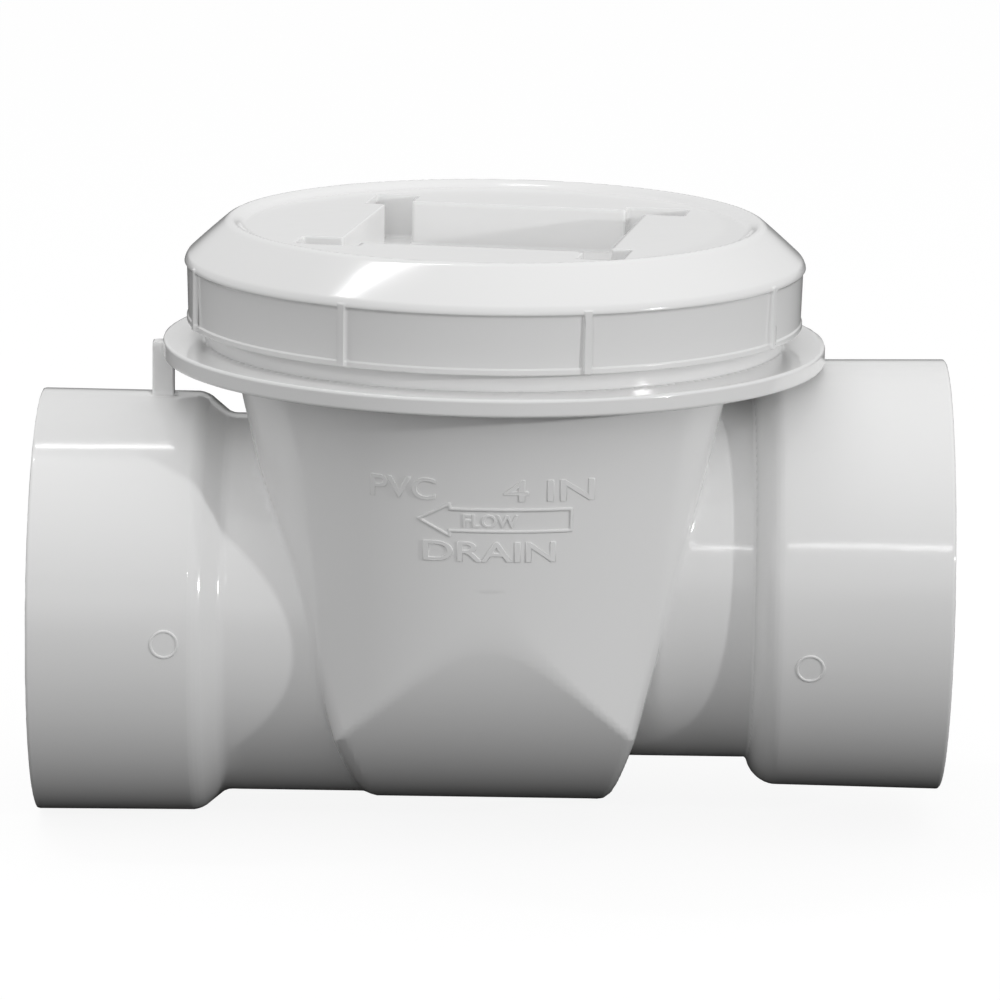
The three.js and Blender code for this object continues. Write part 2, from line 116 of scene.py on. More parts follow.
# ---------------------------------------------------------------- fields


def hypot(*parts):
    return np.sqrt(sum(p * p for p in parts))


def both(a, b, radius=0.0):
    """Where a and b overlap, with the edge between them rounded."""
    if radius <= 0:
        return np.maximum(a, b)
    u, v = np.maximum(radius + a, 0), np.maximum(radius + b, 0)
    return np.minimum(-radius, np.maximum(a, b)) + np.sqrt(u * u + v * v)


def either(a, b, radius=0.0):
    """a and b joined, with a fillet in the corner between them."""
    return -both(-a, -b, radius)


def without(a, b, radius=0.0):
    """a with b cut away, with the cut's edge rounded."""
    return both(a, -b, radius)


def slab(value, low, high):
    """Negative where value is between low and high."""
    return np.maximum(low - value, value - high)


def below_line(u, v, start, end):
    """Distance to the line from start to end in the (u, v) plane, negative on its right-hand side."""
    du, dv = end[0] - start[0], end[1] - start[1]
    return (du * (v - start[1]) - dv * (u - start[0])) / math.hypot(du, dv)


def polygon(u, v, corners):
    """Signed distance to a closed outline in the (u, v) plane."""
    best = np.full(np.shape(u), np.inf)
    inside = np.zeros(np.shape(u), bool)
    for (ax, ay), (bx, by) in zip(corners, corners[1:] + corners[:1]):
        ex, ey = bx - ax, by - ay
        t = np.clip(((u - ax) * ex + (v - ay) * ey) / (ex * ex + ey * ey), 0, 1)
        best = np.minimum(best, hypot(u - ax - t * ex, v - ay - t * ey))
        rising = (ay > v) != (by > v)
        if ey:
            inside ^= rising & (u < ax + (v - ay) * ex / ey)
    return np.where(inside, -best, best)


# ---------------------------------------------------------------- valve body


def pot_radius(z):
    return POT["radius"] + POT["flare"] * (z - MID_Z)


def pot_field(x, y, z, inset, ridge, edges):
    """The flared barrel with a rounded belly, cut by a sloping wall towards each hub."""
    barrel = (hypot(x, y) - pot_radius(z) + inset) / math.hypot(1, POT["flare"])
    above = z - POT["belly_z"]
    reach = np.where(above < 0, hypot(y, above), np.abs(y) - POT["flank"] * above)
    shape = both(barrel, reach - (POT["belly"] - inset), ridge)
    for hub, edge in zip((OUTLET, INLET), edges):
        slant = math.hypot(1, hub["slope"])
        wall = (hub["side"] * x - hub["wall"] - hub["slope"] * (z - MID_Z)) / slant + inset
        shape = both(shape, wall, edge)
    return shape


def hub_outside(x, y, z, hub):
    along, radius = hub["side"] * x, hypot(y, z - hub["axis"])
    reach = (along - hub["shoulder"]) / (HUB_LENGTH - hub["shoulder"])
    skin = radius - (hub["root"] + (hub["mouth"] - hub["root"]) * np.clip(reach, 0, 1))
    ramp = below_line(along, radius, (hub["shoulder"], hub["neck"]), (hub["shoulder_end"], hub["root"]))
    shell = np.maximum(both(skin, ramp, hub["round"]), hub["shoulder"] - HUB["shell_overlap"] - along)
    neck = np.maximum(radius - hub["neck"], hub["wall"] / 2 - along)
    return both(either(shell, neck, HUB["neck_fillet"]), along - HUB_LENGTH, HUB["edge"])


def hub_inside(x, y, z, hub):
    """The socket with its bevelled mouth, and the bore behind it."""
    along, radius = hub["side"] * x, hypot(y, z - hub["axis"])
    reach = np.clip((along - SHELF) / SOCKET["depth"], 0, 1)
    taper = SOCKET["root"] + (SOCKET["radius"] - SOCKET["root"]) * reach
    socket = np.maximum(radius - taper, SHELF - along)
    bevel = radius - SOCKET["radius"] - (along - HUB_LENGTH + SOCKET["bevel"])
    mouth = np.maximum(bevel, HUB_LENGTH - 2 * SOCKET["bevel"] - along)
    return np.minimum(np.minimum(socket, mouth), np.maximum(radius - SOCKET["bore"], -along))


def post_and_web(x, y, z):
    """The small post under the flange at the outlet, and the web under it at the inlet."""
    half = POST["width"] / 2
    top = FLANGE["bottom"] + half
    post = both(np.abs(x - POST["x"]) - half, np.abs(y) - half, POST["edge"])
    post = both(post, slab(z, OUTLET["axis"] + OUTLET["neck"], top), POST["edge"])
    web = both(np.abs(y) - half, slab(x, WEB["inner"], WEB["outer"]), POST["edge"])
    return post, np.maximum(web, slab(z, WEB["bottom"], top))


def body_field(x, y, z):
    r = hypot(x, y)
    outside = pot_field(x, y, z, 0.0, POT["ridge"], (OUTLET["edge"], INLET["edge"]))
    outside = np.maximum(outside, z - POT["top"])
    for hub in (OUTLET, INLET):
        outside = either(outside, hub_outside(x, y, z, hub), HUB["pot_fillet"])
    flange = both(r - FLANGE["radius"], slab(z, FLANGE["bottom"], FLANGE["top"]), FLANGE["edge"])
    outside = either(outside, flange, FLANGE["fillet"])
    collar = np.maximum(r - COLLAR["outer"], FLANGE["bottom"] + 1 - z)
    outside = either(outside, both(collar, z - COLLAR["top"], COLLAR["edge"]), COLLAR["fillet"])
    for part in post_and_web(x, y, z):
        outside = either(outside, part, POST["fillet"])
    edge = POT["inside_edge"]
    chamber = np.maximum(pot_field(x, y, z, POT["wall"], edge, (edge, edge)), z - POT["open_top"])
    chamber = np.minimum(chamber, np.maximum(r - COLLAR["inner"], POT["open_top"] - 1 - z))
    inside = either(chamber, hub_inside(x, y, z, OUTLET))
    inside = either(inside, hub_inside(x, y, z, INLET))
    return without(outside, inside, SOCKET["edge"])


# ---------------------------------------------------------------- access lid


def turned_to(x, y, degrees):
    """x and y seen from axes turned by this angle about Z."""
    c, s = math.cos(math.radians(degrees)), math.sin(math.radians(degrees))
    return c * x + s * y, c * y - s * x


def rounded_square(x, y, half, corner):
    dx, dy = np.abs(x) - half + corner, np.abs(y) - half + corner
    outside = hypot(np.maximum(dx, 0), np.maximum(dy, 0))
    return outside + np.minimum(np.maximum(dx, dy), 0) - corner


def socket_plan(x, y, grow):
    """The lid's square socket seen from above, with each corner reaching out one way."""
    u, v = turned_to(x, y, POCKET["turn"])
    plan = rounded_square(u, v, POCKET["half"] + grow, POCKET["corner"] + grow)
    inner = POCKET["notch_from"] - grow
    for _ in range(4):
        length = slab(-u, inner, POCKET["notch_end"] + grow)
        notch = both(length, slab(-v, inner, POCKET["notch_side"] + grow), POCKET["notch_edge"])
        plan = either(plan, notch, POCKET["notch_fillet"])
        u, v = v, -u
    return plan


def lid_cap(r, z):
    """The band and the shallow arc from it up to the crest."""
    chord = np.array([LID["crest_radius"] - LID["band"], LID["crest"] - LID["shoulder"]])
    length = np.linalg.norm(chord)
    arc = length**2 / (8 * LID["bulge"]) + LID["bulge"] / 2
    middle = np.array([LID["band"], LID["shoulder"]]) + chord / 2
    centre = middle - np.array([chord[1], -chord[0]]) / length * (arc - LID["bulge"])
    shoulder = hypot(r - centre[0], z - centre[1]) - arc
    cap = both(r - LID["band"], shoulder, LID_EDGE["crest"])
    cap = both(cap, z - LID["crest"], LID_EDGE["crest"])
    return both(cap, LID["band_bottom"] - z, LID_EDGE["band"])


def lid_skirt(r, z):
    lean = (LID["skirt_top"] - LID["skirt_foot"]) / (LID["band_bottom"] - LID["lip"])
    side = r - LID["skirt_foot"] - lean * (z - LID["lip"])
    return both(side, slab(z, LID["lip"], LID["band_bottom"] + 1), LID_EDGE["skirt"])


def lid_rib(x, y, z, r):
    """The grip ribs round the skirt, folded into one sector."""
    sector = TAU / RIB["count"]
    angle = np.arctan2(x, -y) - math.radians(RIB["turn"])
    across = r * np.sin((angle + sector / 2) % sector - sector / 2)
    rib = both(np.abs(across) - RIB["width"] / 2, r - LID["band"] - RIB["proud"], RIB["edge"])
    rib = np.maximum(rib, LID["skirt_foot"] - RIB["sunk"] - r)
    return both(rib, slab(z, LID["lip"] + RIB["foot"], LID["shoulder"] - RIB["head"]), RIB["end_edge"])


def lid_outside(x, y, z):
    r = hypot(x, y)
    foot = slab(z, LID["lip"], LID["lip"] + LID["bead_height"])
    bead = both(r - LID["skirt_foot"] - LID["bead"], foot, LID_EDGE["bead"])
    outer = either(lid_cap(r, z), lid_skirt(r, z), LID_FILLET["skirt"])
    outer = either(outer, bead, LID_FILLET["bead"])
    return either(outer, lid_rib(x, y, z, r), RIB["fillet"])


def lid_field(x, y, z):
    r = hypot(x, y)
    flare = (LID["rim"] - LID["land_radius"]) / (LID["crest"] - LID["land"])
    side = (r - LID["rim"] - flare * (z - LID["crest"])) / math.hypot(1, flare)
    recess = both(side, LID["land"] - z, LID_EDGE["land"])
    shape = without(lid_outside(x, y, z), recess, LID_EDGE["rim"])
    socket = both(socket_plan(x, y, 0.0), POCKET["floor"] - z, LID_EDGE["floor"])
    shape = without(shape, socket, LID_EDGE["socket"])
    cup = both(socket_plan(x, y, POCKET["wall"]), POCKET["floor"] - POCKET["wall"] - z, LID_EDGE["floor"])
    under = np.minimum(
        np.maximum(r - LID["inner"], z - LID["seat"]), np.maximum(r - LID["plug"], z - LID["ceiling"])
    )
    return without(shape, without(under, cup, LID_FILLET["cup"]), LID_EDGE["socket"])


# ---------------------------------------------------------------- seat, flapper and screws
# These are drawn flat: x is across the valve, y runs up the seat and z points away from the seat into
# the pot, with the origin at the centre of the seat's face.

SEAT = dict(
    bore=48.5, bore_edge=0.6, spigot=50.3, spigot_length=6.0, spigot_edge=0.4, rim=54.8, thickness=3.2,
    edge=0.5, fillet=0.4,
)
HINGE = dict(
    height=60.0, out=5.7, pin=2.4, pin_edge=0.5, bore=2.8, bore_edge=0.3, knuckle=5.6, ear=6.2, ear_edge=0.6,
    half=38.0, fillet=0.6,
)
EAR = (27.5, 33.0)
KNUCKLE = (17.0, 27.0)
FLAP = dict(
    radius=54.5, back=8.0, plate=3.4, boss=41.7, bevel_drop=1.5, bevel_run=4.0, bevel_edge=1.0,
    rib=3.2, rib_height=3.2, rib_inset=6.0, rib_draft=0.08, ring=30.0, ring_half=2.0,
    edge=0.5, boss_fillet=0.3, rib_edge=0.7, rib_end=0.8, rib_fillet=1.2, arm_edge=0.8, arm_fillet=1.0,
)
SEAL = dict(inner=42.0, outer=54.0, front=0.3, back=3.1, edge=0.7)
RETAINER = dict(radius=47.2, front=-2.2, edge=0.7)
SCREW = dict(
    circle=30.0, head=4.0, head_height=2.0, head_edge=0.25, head_fillet=0.3, dome=6.5, dome_edge=0.5,
    shank=2.0, tip=6.6, tip_edge=0.6, gap=0.3,
    pitch=1.2, thread=0.22, thread_middle=0.25, hole=2.4, hole_edge=0.2,
)
DRIVE = dict(half=0.42, reach=2.3, taper=0.9, depth=1.3, edge=0.15, floor_edge=0.2, mouth_edge=0.12)
CLIP = dict(
    radius=5.2, inner=3.5, thickness=1.2, groove=1.9, slot=3.4, inset=2.0, play=0.3, edge=0.2, fillet=0.4,
    prong_half=1.0, prong_reach=4.2, side_prongs=54.0, groove_edge=0.1,
)

SEAT_TILT = math.atan(INLET["slope"])
UP = np.array([math.sin(SEAT_TILT), 0.0, math.cos(SEAT_TILT)])
OUT = np.array([-math.cos(SEAT_TILT), 0.0, math.sin(SEAT_TILT)])
ACROSS = np.cross(UP, OUT)
HINGE_JOINT = next(j for j in frame["record"]["behaviour"]["joints"] if j["name"] == "flapper_hinge")
SEAT_CENTRE = np.array(HINGE_JOINT["pos_m"]) / MM - HINGE["height"] * UP - HINGE["out"] * OUT
SEAT_AXES = np.array([ACROSS, UP, OUT])


def rod(x, y, z, radius, low, high, edge=0.4):
    """A cylinder along x on the hinge's axis."""
    return both(hypot(y - HINGE["height"], z - HINGE["out"]) - radius, slab(x, low, high), edge)


def pin_hole(x, y, z):
    """The pin's bore, right through the ears and the knuckles."""
    return rod(x, y, z, HINGE["bore"], -HINGE["half"] - 2, HINGE["half"] + 2)


def ear_outline():
    """Corners of an ear in the (y, z) plane, from its foot behind the rim to its foot on the face."""
    foot = math.sqrt(SEAT["rim"] ** 2 - EAR[1] ** 2) - 3
    height, out, ear, back = HINGE["height"], HINGE["out"], HINGE["ear"], -SEAT["thickness"]
    return [
        (foot, back), (height + ear, back + 2), (height + ear, out), (height, out + ear),
        (height - ear, out), (FLAP["radius"] * 0.9, 0.0), (foot, 0.0),
    ]


def arm_outline():
    """Corners of a hinge arm in the (y, z) plane, from the flapper's ring up to its knuckle."""
    height, out, knuckle = HINGE["height"], HINGE["out"], HINGE["knuckle"]
    return [
        (FLAP["ring"], FLAP["plate"] + 1), (FLAP["ring"], FLAP["back"] + FLAP["rib_height"]),
        (height - 6, out + knuckle), (height, out + knuckle), (height, out),
        (height - knuckle, FLAP["plate"]),
    ]


def seat_field(x, y, z):
    r, side = hypot(x, y), np.abs(x)
    rim = both(r - SEAT["rim"], slab(z, -SEAT["thickness"], 0), SEAT["edge"])
    spigot = both(r - SEAT["spigot"], slab(z, -SEAT["spigot_length"], -1), SEAT["spigot_edge"])
    ring = without(either(rim, spigot, SEAT["fillet"]), r - SEAT["bore"], SEAT["bore_edge"])
    plate = both(polygon(y, z, ear_outline()), slab(side, *EAR), HINGE["ear_edge"])
    ears = either(plate, rod(side, y, z, HINGE["ear"], *EAR), HINGE["fillet"])
    return without(either(ring, ears, SEAT["fillet"]), pin_hole(x, y, z), HINGE["bore_edge"])


def flapper_plate(r, z):
    """The round plate with its bevelled rim, and the boss that carries the seal."""
    plate = both(r - FLAP["radius"], slab(z, FLAP["plate"], FLAP["back"]), FLAP["edge"])
    start = (-FLAP["radius"], FLAP["back"] - FLAP["bevel_drop"])
    end = (FLAP["bevel_run"] - FLAP["radius"], FLAP["back"])
    plate = both(plate, below_line(-r, z, start, end), FLAP["bevel_edge"])
    boss = np.maximum(r - FLAP["boss"], slab(z, SEAL["front"], FLAP["plate"] + 1))
    return either(plate, boss, FLAP["boss_fillet"])


def flapper_field(x, y, z):
    r, side = hypot(x, y), np.abs(x)
    shape = flapper_plate(r, z)
    height = slab(z, FLAP["back"] - 1, FLAP["back"] + FLAP["rib_height"])
    draft = FLAP["rib_draft"] * (z - FLAP["back"])
    for near, far in ((x, y), (y, x)):
        end = np.abs(far) - FLAP["radius"] + FLAP["rib_inset"]
        rib = both(np.abs(near) - FLAP["rib"] / 2 + draft, end, FLAP["rib_end"])
        shape = either(shape, both(rib, height, FLAP["rib_edge"]), FLAP["rib_fillet"])
    ring = both(np.abs(r - FLAP["ring"]) - FLAP["ring_half"] + draft, height, FLAP["rib_edge"])
    shape = either(shape, ring, FLAP["rib_fillet"])
    arm = both(polygon(y, z, arm_outline()), slab(side, *KNUCKLE), FLAP["arm_edge"])
    shape = either(shape, arm, FLAP["arm_fillet"])
    shape = either(shape, rod(side, y, z, HINGE["knuckle"], *KNUCKLE), HINGE["fillet"])
    shape = without(shape, pin_hole(x, y, z), HINGE["bore_edge"])
    holes = both(screw_distance(x, y) - SCREW["hole"], z - SCREW["tip"] - SCREW["gap"])
    return without(shape, holes, SCREW["hole_edge"])


def screw_distance(x, y):
    """Distance to the nearest of the four screws' axes."""
    place = SCREW["circle"] * math.sqrt(0.5)
    return hypot(np.abs(x) - place, np.abs(y) - place)


def retainer_field(x, y, z):
    disc = both(hypot(x, y) - RETAINER["radius"], slab(z, RETAINER["front"], 0), RETAINER["edge"])
    return without(disc, screw_distance(x, y) - SCREW["hole"], SCREW["hole_edge"])


def screw_field(x, y, z):
    """One cross-head screw on the z axis, its head below the retainer's face."""
    r, angle = hypot(x, y), np.arctan2(y, x)
    face = RETAINER["front"] - SCREW["gap"]
    top = face - SCREW["head_height"]
    dome = hypot(r, z - top - SCREW["dome"]) - SCREW["dome"]
    head = both(both(r - SCREW["head"], z - face, SCREW["head_edge"]), dome, SCREW["dome_edge"])
    groove = SCREW["thread"] * np.cos(TAU * z / SCREW["pitch"] - angle)
    shank = both(r - SCREW["shank"] + SCREW["thread_middle"] - groove, z - SCREW["tip"], SCREW["tip_edge"])
    shank = both(shank, face - 1 - z)
    across, along = np.minimum(np.abs(x), np.abs(y)), np.maximum(np.abs(x), np.abs(y))
    drive = both(across - DRIVE["half"], along - DRIVE["reach"] + DRIVE["taper"] * (z - top), DRIVE["edge"])
    drive = both(drive, z - top - DRIVE["depth"], DRIVE["floor_edge"])
    return without(either(head, shank, SCREW["head_fillet"]), drive, DRIVE["mouth_edge"])


def clip_field(x, y, z):
    """An E-clip about the z axis, open towards +x, its three prongs in the pin's groove."""
    r, angle = hypot(x, y), np.abs(np.arctan2(y, x))
    plan = np.maximum(r - CLIP["radius"], CLIP["inner"] - r)
    for turn in (math.pi, math.radians(CLIP["side_prongs"])):
        prong = np.maximum(np.abs(r * np.sin(angle - turn)) - CLIP["prong_half"], -r * np.cos(angle - turn))
        prong = both(prong, slab(r, CLIP["groove"], CLIP["prong_reach"]), CLIP["edge"])
        plan = either(plan, prong, CLIP["fillet"])
    mouth = np.maximum(np.abs(y) - CLIP["slot"] / 2, -x)
    plan = without(plan, mouth, CLIP["fillet"])
    return both(plan, slab(z, 0, CLIP["thickness"]), CLIP["edge"])


def pin_field(x, y, z):
    """The hinge pin, with a groove for a clip near each end."""
    inner, outer = HINGE["half"] - CLIP["inset"] - CLIP["thickness"], HINGE["half"] - CLIP["inset"]
    groove = slab(np.abs(x), inner - CLIP["play"], outer + CLIP["play"])
    axis = hypot(y - HINGE["height"], z - HINGE["out"])
    neck = np.maximum(groove, CLIP["groove"] - CLIP["play"] - axis)
    pin = rod(x, y, z, HINGE["pin"], -HINGE["half"], HINGE["half"], HINGE["pin_edge"])
    return without(pin, neck, CLIP["groove_edge"])


def clip_on_pin(side):
    """The field of the clip on one end of the pin, side being 1 or -1."""
    edge = HINGE["half"] - CLIP["inset"] - CLIP["thickness"]
    return lambda x, y, z: clip_field(side * (HINGE["out"] - z), y - HINGE["height"], side * x - edge)


# ---------------------------------------------------------------- field to mesh


def gradient(field, points, step=0.02):
    """The field's slope at each point, by central differences."""
    out = np.empty_like(points)
    for axis in range(3):
        ahead, behind = points.copy(), points.copy()
        ahead[:, axis] += step
        behind[:, axis] -= step
        out[:, axis] = (field(*ahead.T) - field(*behind.T)) / (2 * step)
    return out


def unit(vectors):
    return vectors / np.maximum(np.linalg.norm(vectors, axis=1, keepdims=True), 1e-9)


def sampled(field, ticks):
    """The field's value at every grid point, worked out one layer of x at a time."""
    flat_y, flat_z = np.meshgrid(ticks[1], ticks[2], indexing="ij")
    return np.stack([field(np.full_like(flat_y, x), flat_y, flat_z) for x in ticks[0]])


def zero_between(field, start, end, at_start, at_end):
    """Where the field passes through zero between each start and end."""
    for _ in range(4):
        t = np.clip(at_start / (at_start - at_end), 0.05, 0.95)
        middle = start + (end - start) * t[:, None]
        at_middle = field(*middle.T)
        left = (at_middle < 0) == (at_start < 0)
        start[left], at_start[left] = middle[left], at_middle[left]
        end[~left], at_end[~left] = middle[~left], at_middle[~left]
    t = at_start / (at_start - at_end)
    return start + (end - start) * t[:, None]


def crossings(field, ticks, values, axis):
    """Where grid edges along one axis cross the surface, the four cells round each, and which face back."""
    inside = values < 0
    change = np.diff(inside, axis=axis)
    where = np.argwhere(change)
    u, v = (axis + 1) % 3, (axis + 2) % 3
    for k in (u, v):
        where = where[(where[:, k] > 0) & (where[:, k] < values.shape[k] - 1)]
    start = np.stack([ticks[k][where[:, k]] for k in range(3)], 1)
    end = start.copy()
    end[:, axis] = ticks[axis][where[:, axis] + 1]
    after = where.copy()
    after[:, axis] += 1
    points = zero_between(field, start, end, values[tuple(where.T)], values[tuple(after.T)])
    cell_shape = [n - 1 for n in values.shape]
    around = []
    for du, dv in ((-1, -1), (0, -1), (0, 0), (-1, 0)):
        cell = where.copy()
        cell[:, u] += du
        cell[:, v] += dv
        around.append(np.ravel_multi_index(tuple(cell.T), cell_shape))
    return points, np.stack(around, 1), ~inside[tuple(where.T)]


def meeting_places(points, normals, index, count):
    """For each of count cells, the place where the tangent planes of its crossings meet, or nearly meet."""

    def gather(weights):
        return np.bincount(index.ravel(), np.repeat(weights, 4), count)

    share = gather(np.ones(len(points)))
    centre = np.stack([gather(points[:, k]) for k in range(3)], 1) / share[:, None]
    offset = np.einsum("ij,ij->i", normals, points)
    right = np.stack([gather(normals[:, i] * offset) for i in range(3)], 1)
    matrix = np.empty((count, 3, 3))
    for i in range(3):
        for j in range(3):
            matrix[:, i, j] = gather(normals[:, i] * normals[:, j])
    right -= np.einsum("nij,nj->ni", matrix, centre)
    matrix += np.eye(3) * (0.03 * share)[:, None, None]
    return centre + np.linalg.solve(matrix, right[..., None])[..., 0]


def surface_of(field, ticks):
    """Vertices and quads of the field's zero surface on a grid with these X, Y and Z ticks.

    Each crossed cell gets one vertex, so edges stay sharp."""
    values = sampled(field, ticks)
    found = [crossings(field, ticks, values, axis) for axis in range(3)]
    points, cells, flips = (np.concatenate(parts) for parts in zip(*found))
    normals = unit(gradient(field, points))
    used, index = np.unique(cells, return_inverse=True)
    quads = index.reshape(cells.shape)
    places = meeting_places(points, normals, quads, len(used))
    where = np.unravel_index(used, [n - 1 for n in values.shape])
    for k in range(3):
        places[:, k] = np.clip(places[:, k], ticks[k][where[k]], ticks[k][where[k] + 1])
    quads[flips] = quads[flips][:, ::-1]
    return places, quads


def ticks_over(low, high, step, fine=()):
    """Grid ticks from low to high. Each (place, reach, step) in fine makes them closer near a place."""
    out = [low]
    while out[-1] < high:
        here = out[-1]
        size = step
        for place, reach, small in fine:
            gap = max(abs(here + small / 2 - place) - reach, 0)
            size = min(size, small + 0.35 * gap)
        out.append(here + size)
    return np.array(out)


def box_ticks(low, high, step):
    """Even grid ticks over a box, with a little room around it."""
    return [ticks_over(a - 0.7 * step, b + step, step) for a, b in zip(low, high)]


def corner_normals(field, places, quads, lean=0.3):
    """The field's own direction near each quad's corners, a little towards the quad's middle."""
    corners = places[quads]
    inward = corners + (corners.mean(axis=1, keepdims=True) - corners) * lean
    return unit(gradient(field, inward.reshape(-1, 3)))


def mesh_object(name, places, faces, normals=None):
    """A smooth Blender object from millimetre vertices."""
    mesh = bpy.data.meshes.new(name)
    mesh.from_pydata((places * MM).tolist(), [], faces)
    mesh.update()
    mesh.polygons.foreach_set("use_smooth", np.ones(len(mesh.polygons), bool))
    if normals is not None:
        mesh.normals_split_custom_set(normals.tolist())
    obj = bpy.data.objects.new(name, mesh)
    bpy.context.scene.collection.objects.link(obj)
    return obj


# ---------------------------------------------------------------- finishes


def link(tree, out, into):
    tree.links.new(out, into)


def noise(tree, place, scale, detail=2.0):
    node = tree.nodes.new("ShaderNodeTexNoise")
    node.inputs["Scale"].default_value = scale
    node.inputs["Detail"].default_value = detail
    link(tree, place, node.inputs["Vector"])
    return node.outputs["Fac"]


def finish(name, colour, roughness, metallic=0.0, tint=0.975, spread=0.04, cloud=18, grain=140, relief=0.03,
           stretch=(1, 1, 1)):
    """A node-built finish: cloudy colour and gloss, and a fine relief. relief is in millimetres."""
    material = bpy.data.materials.new(name)
    material.use_nodes = True
    tree = material.node_tree
    shader = tree.nodes["Principled BSDF"]
    shader.inputs["Metallic"].default_value = metallic
    geometry = tree.nodes.new("ShaderNodeNewGeometry")
    mapping = tree.nodes.new("ShaderNodeMapping")
    mapping.inputs["Scale"].default_value = stretch
    link(tree, geometry.outputs["Position"], mapping.inputs["Vector"])
    place = mapping.outputs["Vector"]
    clouds = noise(tree, place, cloud, 4)
    mix = tree.nodes.new("ShaderNodeMix")
    mix.data_type = "RGBA"
    mix.inputs["A"].default_value = (*[c * tint for c in colour], 1)
    mix.inputs["B"].default_value = (*colour, 1)
    link(tree, clouds, mix.inputs["Factor"])
    link(tree, mix.outputs["Result"], shader.inputs["Base Color"])
    gloss = tree.nodes.new("ShaderNodeMapRange")
    gloss.inputs["To Min"].default_value = roughness - spread
    gloss.inputs["To Max"].default_value = roughness + spread
    link(tree, clouds, gloss.inputs["Value"])
    link(tree, gloss.outputs["Result"], shader.inputs["Roughness"])
    bump = tree.nodes.new("ShaderNodeBump")
    bump.inputs["Strength"].default_value = 0.5
    bump.inputs["Distance"].default_value = relief * MM
    link(tree, noise(tree, place, grain), bump.inputs["Height"])
    link(tree, bump.outputs["Normal"], shader.inputs["Normal"])
    return material


WHITE = finish("white_pvc_finish", (0.86, 0.86, 0.858), 0.12, spread=0.02, relief=0.035)
IVORY = finish("ivory_pvc_finish", (0.82, 0.81, 0.77), 0.32)
RUBBER = finish("rubber_finish", (0.022, 0.022, 0.024), 0.55, tint=0.8, grain=2600, relief=0.02)
STEEL = finish("stainless_finish", (0.62, 0.62, 0.63), 0.26, metallic=1.0, tint=0.9, spread=0.07, cloud=90,
               grain=500, relief=0.006, stretch=(1, 12, 1))
SLOTS = {"white_pvc": WHITE, "ivory_pvc": IVORY, "black_rubber": RUBBER, "stainless": STEEL}

# ---------------------------------------------------------------- ways to make a piece


def add_piece(obj, body, slot, *nodes):
    """Gives a shape its finish and its body, and lets it stand for its CAD nodes."""
    obj.data.materials.clear()
    obj.data.materials.append(SLOTS[slot])
    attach(obj, body)
    if nodes:
        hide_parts(*nodes)
    return obj


def moulding(name, body, slot, node, field, ticks, axes=None, origin=0.0):
    """A piece meshed from its field. axes and origin place one that isn't drawn in the valve's frame."""
    places, quads = surface_of(field, ticks)
    normals = corner_normals(field, places, quads)
    if axes is not None:
        places, normals = places @ axes + origin, normals @ axes
    return add_piece(mesh_object(name, places, quads.tolist(), normals), body, slot, node)


def eased(outline, reach, steps=4):
    """A closed outline with each corner turned into a short curve."""
    out = []
    for before, here, after in zip(outline[-1:] + outline[:-1], outline, outline[1:] + outline[:1]):
        before, here, after = np.array(before, float), np.array(here, float), np.array(after, float)
        start = here + (before - here) / np.linalg.norm(before - here) * reach
        end = here + (after - here) / np.linalg.norm(after - here) * reach
        for t in np.linspace(0, 1, steps):
            out.append((1 - t) ** 2 * start + 2 * t * (1 - t) * here + t * t * end)
    return np.array(out)


def strip_quads(rings, count, closed):
    """Quads joining each loop of count vertices to the next."""
    first = np.arange(rings if closed else rings - 1)
    second = (first + 1) % rings
    k = np.arange(count)
    following = (k + 1) % count
    quads = np.stack(np.broadcast_arrays(
        first[:, None] * count + k, first[:, None] * count + following,
        second[:, None] * count + following, second[:, None] * count + k,
    ), -1)
    return quads.reshape(-1, 4)


def weigh_normals(obj):
    modifier = obj.modifiers.new("normals", "WEIGHTED_NORMAL")
    modifier.weight = 100
    return obj


def flat_ring(name, low, high, edge, axes=None, origin=0.0, segments=160):
    """A turned ring between two (radius, height) corners, with rounded edges."""
    loop = eased([low, (high[0], low[1]), high, (low[0], high[1])], edge)
    angle = np.arange(segments)[:, None] * TAU / segments
    places = np.stack(np.broadcast_arrays(
        loop[:, 0] * np.cos(angle), loop[:, 0] * np.sin(angle), loop[:, 1] + 0 * angle), -1).reshape(-1, 3)
    if axes is not None:
        places = places @ axes + origin
    return weigh_normals(mesh_object(name, places, strip_quads(segments, len(loop), True).tolist()))


def thread_ridge(name, root, out, start, turns, per_turn=96):
    """A right-hand thread from +X, rising anticlockwise, that fades in and out over an eighth of a turn."""
    steps = round(turns * per_turn)
    fade = per_turn / 8
    deep, wide, narrow = THREAD["depth"] + THREAD["sunk"], THREAD["root"] / 2, THREAD["crest"] / 2
    loop = eased([(0, -wide), (deep, -narrow), (deep, narrow), (0, wide)], THREAD["edge"])
    if out < 0:
        loop = loop[::-1]
    i = np.arange(steps + 1)
    rise = np.clip(np.minimum(i, steps - i) / fade, 0.02, 1)
    rise = (rise * rise * (3 - 2 * rise))[:, None]
    angle = (i * TAU / per_turn)[:, None]
    radius = root + out * (loop[:, 0] * rise - THREAD["sunk"])
    height = start + THREAD["pitch"] * angle / TAU + loop[:, 1]
    places = np.stack([radius * np.cos(angle), radius * np.sin(angle), height], -1).reshape(-1, 3)
    first, last = list(range(len(loop))), list(range(len(places) - len(loop), len(places)))
    faces = [*strip_quads(steps + 1, len(loop), False).tolist(), first[::-1], last]
    return weigh_normals(mesh_object(name, places, faces))


# ---------------------------------------------------------------- body and lid
# Grid steps are in millimetres, and each fine place is (place, reach, step).

MARGIN = 3.0
BODY_STEP = 2.0
LENGTH_STEP = 2.8
LID_STEP = 1.45


